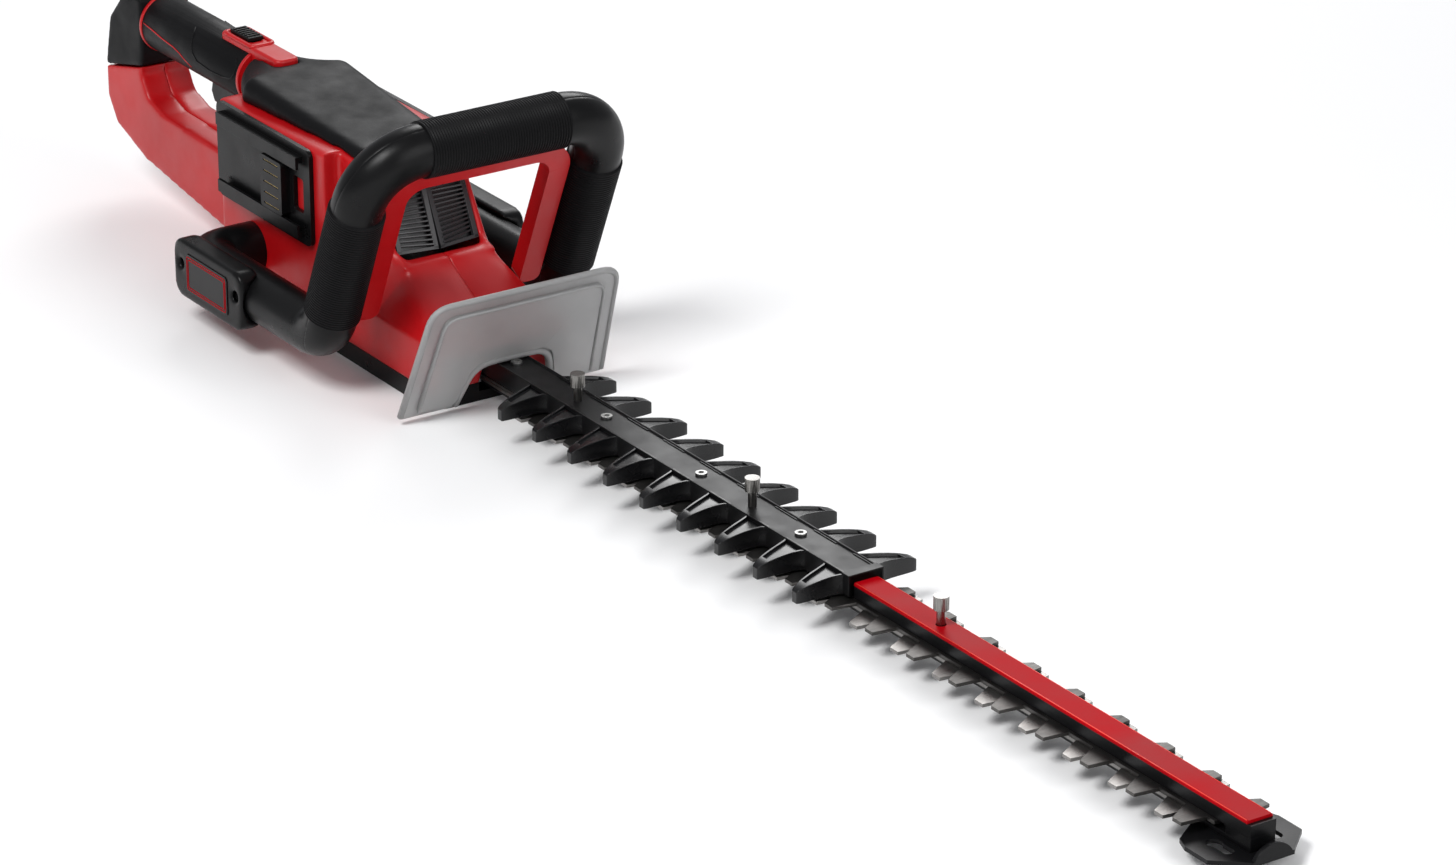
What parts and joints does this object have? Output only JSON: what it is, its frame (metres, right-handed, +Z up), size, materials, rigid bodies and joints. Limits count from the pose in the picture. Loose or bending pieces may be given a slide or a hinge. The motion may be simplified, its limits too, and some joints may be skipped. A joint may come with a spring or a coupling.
{
  "type": "hedge trimmer",
  "caption": "Cordless double-action hedge trimmer with a long toothed blade, slip-on tooth guard, hand shield, loop front handle, closed rear handle and side battery docks.",
  "frame": {"origin": "underside of the base plate, on the middle plane, 5 mm in front of the drive gear's axis", "axes": "+X forward along the blade, +Y to the tool's left, +Z up"},
  "size_m": [1.192, 0.2032, 0.1829],
  "materials": {
    "red_plastic": "moulded red plastic with a satin gloss",
    "black_plastic": "black moulded plastic with a fine grain",
    "black_rubber": "soft-touch black overmould",
    "badge_film": "dark label film with plain line frame",
    "smoked_plastic": "smoked translucent plastic",
    "black_steel": "blackened and painted steel",
    "red_paint": "red painted steel",
    "blade_steel": "ground blade steel",
    "plated_steel": "zinc plated steel",
    "nickel": "nickel plated, knurled",
    "gear_steel": "machined steel",
    "cast_alloy": "die cast alloy",
    "bronze": "sintered bronze",
    "contact_brass": "brass contacts",
    "board": "green circuit board"
  },
  "bodies": {
    "body": {"arm_badges": "badge_film", "arm_plate_left": "black_plastic", "arm_plate_right": "black_plastic", "bail_front_shell": "black_plastic", "bail_rear_shell": "black_plastic", "base_plate": "black_plastic", "battery_dock_left": "black_plastic", "battery_dock_right": "black_plastic", "board_tray": "black_plastic", "controller_board": "board", "gear_bearing": "gear_steel", "gear_bush": "bronze", "gearbox_cover": "cast_alloy", "gearbox_housing": "cast_alloy", "grip_rings": "red_plastic", "guide_rail": "black_steel", "hand_guard": "smoked_plastic", "hand_guard_screws": "plated_steel", "housing_left": "red_plastic", "housing_right": "red_plastic", "housing_screws": "plated_steel", "keeper_bar": "black_steel", "leg_sleeve_left": "black_rubber", "leg_sleeve_right": "black_rubber", "motor_bearings": "gear_steel", "motor_can": "gear_steel", "motor_end_cap": "black_plastic", "motor_magnets": "gear_steel", "rail_nuts": "plated_steel", "rail_screws": "plated_steel", "rail_strip": "red_paint", "rear_cap": "black_plastic", "rear_grip": "black_rubber", "switch_bar_pins": "plated_steel", "switch_surround": "red_plastic", "terminal_blades": "contact_brass", "terminal_blocks": "black_plastic", "tip_guard": "black_steel", "tip_spacer": "black_steel", "tooth_guard": "black_plastic", "tooth_guard_screws": "plated_steel", "top_cover": "black_rubber", "top_sleeve": "black_rubber", "trigger_pin": "plated_steel", "trigger_switch": "black_plastic", "vent_grille_left": "black_plastic", "vent_grille_right": "black_plastic"},
    "upper_blade": {"upper_blade": "blade_steel"},
    "lower_blade": {"lower_blade": "blade_steel"},
    "drive_gear": {"drive_gear": "gear_steel"},
    "rotor": {"motor_shaft": "gear_steel", "motor_rotor": "gear_steel", "motor_pinion": "gear_steel", "motor_fan": "black_plastic"},
    "switch_bar": {"switch_bar": "red_plastic"},
    "trigger": {"trigger": "black_plastic"},
    "lock_button": {"lock_button": "black_plastic"},
    "thumb_screw_1": {"thumb_screw_1": "nickel"},
    "thumb_screw_2": {"thumb_screw_2": "nickel"},
    "thumb_screw_3": {"thumb_screw_3": "nickel"}
  },
  "joints": [
    {"name": "blade_slide", "type": "slide", "parent": "body", "child": "upper_blade", "axis": [1, 0, 0], "range_m": [-0.0146, 0]},
    {"name": "lower_blade_slide", "type": "slide", "parent": "body", "child": "lower_blade", "axis": [1, 0, 0], "range_m": [0, 0.0146]},
    {"name": "gear_turn", "type": "hinge", "parent": "body", "child": "drive_gear", "pos_m": [-0.005, 0, 0.028], "axis": [0, 0, 1], "range_deg": [0, 180]},
    {"name": "rotor_turn", "type": "hinge", "parent": "body", "child": "rotor", "pos_m": [-0.04437, 0, 0.06], "axis": [0, 0, 1], "range_deg": [-720, 0]},
    {"name": "switch_bar_press", "type": "hinge", "parent": "body", "child": "switch_bar", "pos_m": [0.0065, 0, 0.05221], "axis": [0, 1, 0], "range_deg": [0, 3], "stiffness_Nm_per_rad": 3, "springref_deg": -5.73},
    {"name": "trigger_press", "type": "hinge", "parent": "body", "child": "trigger", "pos_m": [-0.225, 0, 0.108], "axis": [0, 1, 0], "range_deg": [0, 8], "stiffness_Nm_per_rad": 0.6, "springref_deg": -8.59},
    {"name": "lock_slide", "type": "slide", "parent": "body", "child": "lock_button", "axis": [1, 0, 0], "range_m": [0, 0.005], "stiffness_N_per_m": 300, "springref_m": -0.002},
    {"name": "thumb_screw_1_turn", "type": "hinge", "parent": "body", "child": "thumb_screw_1", "pos_m": [0.1545, 0, 0.03], "axis": [0, 0, 1], "continuous": true},
    {"name": "thumb_screw_2_turn", "type": "hinge", "parent": "body", "child": "thumb_screw_2", "pos_m": [0.3365, 0, 0.03], "axis": [0, 0, 1], "continuous": true},
    {"name": "thumb_screw_3_turn", "type": "hinge", "parent": "body", "child": "thumb_screw_3", "pos_m": [0.516, 0, 0.03], "axis": [0, 0, 1], "continuous": true}
  ],
  "couplings": [
    {"joint": "lower_blade_slide", "follows": "blade_slide", "ratio": -1},
    {"joint": "gear_turn", "follows": "blade_slide", "rad_per_m": -215.17},
    {"joint": "rotor_turn", "follows": "blade_slide", "rad_per_m": 860.68}
  ]
}
